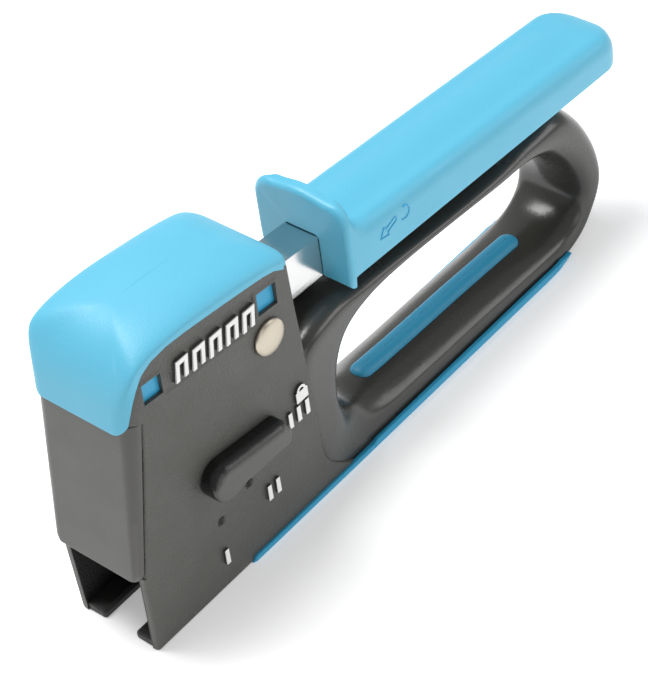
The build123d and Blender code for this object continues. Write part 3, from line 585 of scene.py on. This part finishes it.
# Finger pad and edging: soft blue rubber moulded over the black nylon. The pad is let into the lower bar for
# the fingers, and the edging runs along both edges of the foot and wraps the tail.
outline = plan_box(97.1, 169.9, 3.25, 3.2, 3.2)
pad_line = lambda a, b: np.interp(a, [97, 114, 140, 163, 170], [13.1, 12.1, 11.4, 10.35, 10.0])
ones = np.ones(len(outline))
pad = hood(outline, np.column_stack([np.clip(outline[:, 0], 100.5, 166.5), 0 * ones]),
           pad_line(outline[:, 0], 0) - 3.0, pad_line, 2.7 * ones, 1.9 * ones, 4, 10, 4)
solid("grip_pad", pad, "frame",
      skin("pad_blue", (0.02, 0.25, 0.42), 0.5, grain=(1500, 0.0001), worn=(0.2, 0.55, 0.8)), ("finger_pad",))
strip_x = np.concatenate([np.linspace(36.4, 38.5, 8), np.linspace(39, 86.6, 60), np.linspace(87, 88.4, 6),
                          np.linspace(89, 164, 70), np.linspace(165, 178.5, 40)])
strip_low = np.interp(strip_x, [0, 166, 170, 173, 176, 178.5], [0, 0, 0.15, 0.5, 1.2, 2.2])
strip_tall = np.interp(strip_x, [36.4, 37.5, 86.6, 88.4, 166, 174, 178.5],
                       [0.3, 1.8, 1.8, 2.4, 2.4, 1.9, 0.2])
bead = rounded([(0, 0), (1, 0), (1, 1), (0, 1)], 0.28)
for hand, sign, faces in (("left", -1, [13.9, 14.5, 14.5, 14.5, 14.4, 14.1]),
                          ("right", 1, [13.7, 13.95, 13.95, 13.6, 13.6, 13.4])):
    strip_face = np.interp(strip_x, [36.4, 37.5, 86.6, 88.4, 172, 178.5], faces)[:, None]
    strip_y = sign * (strip_face - 1.5 * (1 - bead[None, :, 0]))
    strip_z = strip_low[:, None] + strip_tall[:, None] * bead[None, :, 1]
    strip = np.stack([np.repeat(strip_x[:, None], len(bead), 1), strip_y, strip_z], -1)
    solid("edging_" + hand, strip, "frame",
          skin("edging_blue_" + hand, (0.02, 0.33, 0.56), 0.5, grain=(1500, 0.0001), worn=(0.2, 0.5, 0.8)),
          ("trim_strip_" + hand,))

# Pivot rivet: one solid pin of nickel-plated steel through the head, on which the lever turns. Its low domed
# heads are upset against the two shells.
def lathe(profile, centre_x, centre_z, count=96):
    """Surface of revolution about a line along Y: (radius, y) points turned through a full circle."""
    turned = np.linspace(0, 2 * math.pi, count, endpoint=False)
    radius, y = np.asarray(profile, float).T
    return np.stack([centre_x + radius[:, None] * np.cos(turned), np.repeat(y[:, None], count, 1),
                     centre_z + radius[:, None] * np.sin(turned)], -1)


dome = [(0, 17.98), (1.5, 17.93), (3.0, 17.75), (4.1, 17.5), (4.8, 17.2), (5.1, 16.95), (5.2, 16.6),
        (5.15, 16.3), (3.0, 16.25)]
rivet = [(r, -y) for r, y in dome] + dome[::-1]
solid("pivot_rivet", lathe(rivet, *middle("pivot_pin")), "frame",
      skin("rivet_steel", (0.50, 0.45, 0.37), 0.34, 1.0, grain=(700, 0.00005), worn=(0.75, 0.74, 0.72)),
      ("pivot_pin",))

# Selector knob: a satin black nylon pointer on the left side, round over its shaft and cut off at the tip.
# It is pressed on to the shaft and clicks into three positions; it points at the third, locked.
hub_r, knob_foot, knob_face = 5.6, 15.45, 20.65
pointer = np.array([(hub_r * math.cos(a), hub_r * math.sin(a)) for a in np.radians(np.linspace(80, 280, 60))]
                   + [(x, -5.5 + 1.1 * min(1, (x - 1) / 5) + 0.03 * (x - 1))
                      for x in np.linspace(1.6, 22.9, 50)]
                   + [(23.6, -3.0), (23.9, -2), (24.0, -1), (24.05, 0), (24.05, 0.9), (23.4, 1.9),
                      (22.6, 2.9), (21.9, 3.9)]
                   + [(x, 5.5 - 0.066 * (x - 1)) for x in np.linspace(21.6, 1.6, 46)])
for _ in range(5):
    pointer = (np.roll(pointer, 1, 0) + 2 * pointer + np.roll(pointer, -1, 0)) / 4
tilt = math.radians(dimple_angles[0])
turn_to = np.array([(math.cos(tilt), math.sin(tilt)), (-math.sin(tilt), math.cos(tilt))])
spine = np.column_stack([np.clip(pointer[:, 0], 0, 20.5), 0 * pointer[:, 0]])
ones = np.ones(len(pointer))
axis = (selector_x, selector_z)
knob_plan, knob_spine = pointer @ turn_to + axis, spine @ turn_to + axis
knob = hood(knob_plan, knob_spine, knob_foot * ones, lambda a, b: knob_face - 0.0006 * (a - 40) ** 2,
            1.2 + 1.8 * step(0, 4, pointer[:, 1]), 1.4 + 2.2 * step(0, 4, pointer[:, 1]), 8, 9, 8)
knob = np.stack([knob[..., 0], -knob[..., 2], knob[..., 1]], -1)
solid("pointer_knob", knob, "selector",
      skin("knob_black", (0.006, 0.006, 0.006), 0.3, grain=(1600, 0.00008), worn=(0.1, 0.1, 0.1)),
      ("selector_knob",))

# The pointer's flat outer face is painted lighter grey than its black flanks: a painted reflection.
knob_tree = bpy.data.materials["knob_black"].node_tree
knob_nodes, knob_link = knob_tree.nodes, knob_tree.links.new
knob_split = knob_nodes.new("ShaderNodeSeparateXYZ")
knob_link(knob_nodes.new("ShaderNodeTexCoord").outputs["Object"], knob_split.inputs["Vector"])
reflecting_face_mask = knob_nodes.new("ShaderNodeMapRange")
reflecting_face_mask.inputs["From Min"].default_value = -0.0196
reflecting_face_mask.inputs["From Max"].default_value = -0.0204
knob_link(knob_split.outputs["Y"], reflecting_face_mask.inputs["Value"])
# Painted reflection: the lighter grey stands for the bright surroundings mirrored in the flat face.
knob_painted_reflection = knob_nodes.new("ShaderNodeMix")
knob_painted_reflection.data_type = "RGBA"
knob_painted_reflection.inputs["B"].default_value = (0.06, 0.059, 0.054, 1)
knob_shader = knob_nodes["Principled BSDF"]
knob_link(reflecting_face_mask.outputs["Result"], knob_painted_reflection.inputs["Factor"])
knob_link(knob_shader.inputs["Base Color"].links[0].from_socket, knob_painted_reflection.inputs["A"])
knob_link(knob_painted_reflection.outputs["Result"], knob_shader.inputs["Base Color"])

# Raised signs: five staple shapes in the sunken band, and the selector's marks (one, two and three bars and a
# padlock). They are moulded in black, proud of the left shell, with white-printed faces.
def printed(name, threshold):
    """Black moulding whose face is white where -y - draft * z passes the threshold, in metres."""
    material = skin(name, (0.02, 0.02, 0.02), 0.45)
    nodes, link = material.node_tree.nodes, material.node_tree.links.new
    shader = nodes["Principled BSDF"]
    below = shader.inputs["Base Color"].links[0].from_socket
    split = nodes.new("ShaderNodeSeparateXYZ")
    link(nodes.new("ShaderNodeTexCoord").outputs["Object"], split.inputs["Vector"])
    lean = nodes.new("ShaderNodeMath")
    lean.operation = "MULTIPLY_ADD"
    lean.inputs[1].default_value = draft
    link(split.outputs["Z"], lean.inputs[0])
    link(split.outputs["Y"], lean.inputs[2])
    face = nodes.new("ShaderNodeMath")
    face.operation = "LESS_THAN"
    face.inputs[1].default_value = -threshold
    link(lean.outputs["Value"], face.inputs[0])
    print_mix = nodes.new("ShaderNodeMix")
    print_mix.data_type = "RGBA"
    print_mix.inputs["B"].default_value = (0.8, 0.8, 0.78, 1)
    link(face.outputs["Value"], print_mix.inputs["Factor"])
    link(below, print_mix.inputs["A"])
    link(print_mix.outputs["Result"], shader.inputs["Base Color"])
    return material


def dress(material, *names):
    """Gives CAD nodes their finish: the material on every face."""
    for node_name in names:
        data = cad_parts[node_name].data
        data.materials.clear()
        data.materials.append(material)


dress(printed("emblem_print", 0.0141), "staple_emblem")
dress(printed("mark_print", 0.0144), "position_marks")

# Lever and mechanism: pressed, ground and hardened steel parts inside the head, riveted, pinned and clipped
# together. Only the lever's neck is in sight, and the blade, magazine and staples through the nose.
dress(skin("lever_steel", (0.66, 0.66, 0.66), 0.2, 1.0, grain=(60, 0.00002), stretch=(3, 40, 40)),
      "lever_arm")
dress(skin("fork_steel", (0.5, 0.5, 0.5), 0.3, 1.0, grain=(60, 0.00003), stretch=(3, 40, 40)),
      "lift_fork_left", "lift_fork_right")
dress(skin("zinc", (0.55, 0.56, 0.58), 0.38, 1.0, grain=(500, 0.00004)),
      "fork_rivets", "blade_rivets", "lift_pins", "spring_seat")
dress(skin("screw_steel", (0.03, 0.03, 0.03), 0.4, 1.0, grain=(700, 0.00005)), "shell_screws")
dress(skin("bush_bronze", (0.45, 0.30, 0.15), 0.4, 1.0, grain=(600, 0.00004)), "pivot_bush")
dress(skin("spring_wire", (0.28, 0.28, 0.30), 0.32, 1.0, grain=(900, 0.00004)),
      "handle_return_spring", "main_spring", "detent_spring", "pusher_spring", "cam_clip")
dress(skin("ball_steel", (0.7, 0.7, 0.7), 0.15, 1.0, grain=(900, 0.00001)), "detent_ball")
dress(skin("plunger_steel", (0.33, 0.33, 0.34), 0.4, 1.0, grain=(400, 0.00006)), "plunger")
dress(skin("blade_steel", (0.42, 0.42, 0.44), 0.25, 1.0, grain=(60, 0.00002), stretch=(40, 40, 3)),
      "driver_blade")
dress(skin("bumper_rubber", (0.01, 0.01, 0.01), 0.8, grain=(1200, 0.0002)), "plunger_bumper")
dress(skin("cam_plastic", (0.02, 0.02, 0.02), 0.5), "power_cam", "follower", "magazine_end")
dress(skin("shaft_steel", (0.5, 0.5, 0.5), 0.3, 1.0), "selector_shaft")
dress(skin("magazine_steel", (0.40, 0.41, 0.43), 0.35, 1.0, grain=(60, 0.00003), stretch=(3, 40, 40)),
      "magazine_channel", "staple_rail", "nose_piece")
dress(skin("staple_zinc", (0.62, 0.63, 0.65), 0.28, 1.0, grain=(60, 0.00004), stretch=(900, 3, 3)),
      "staple_stick")
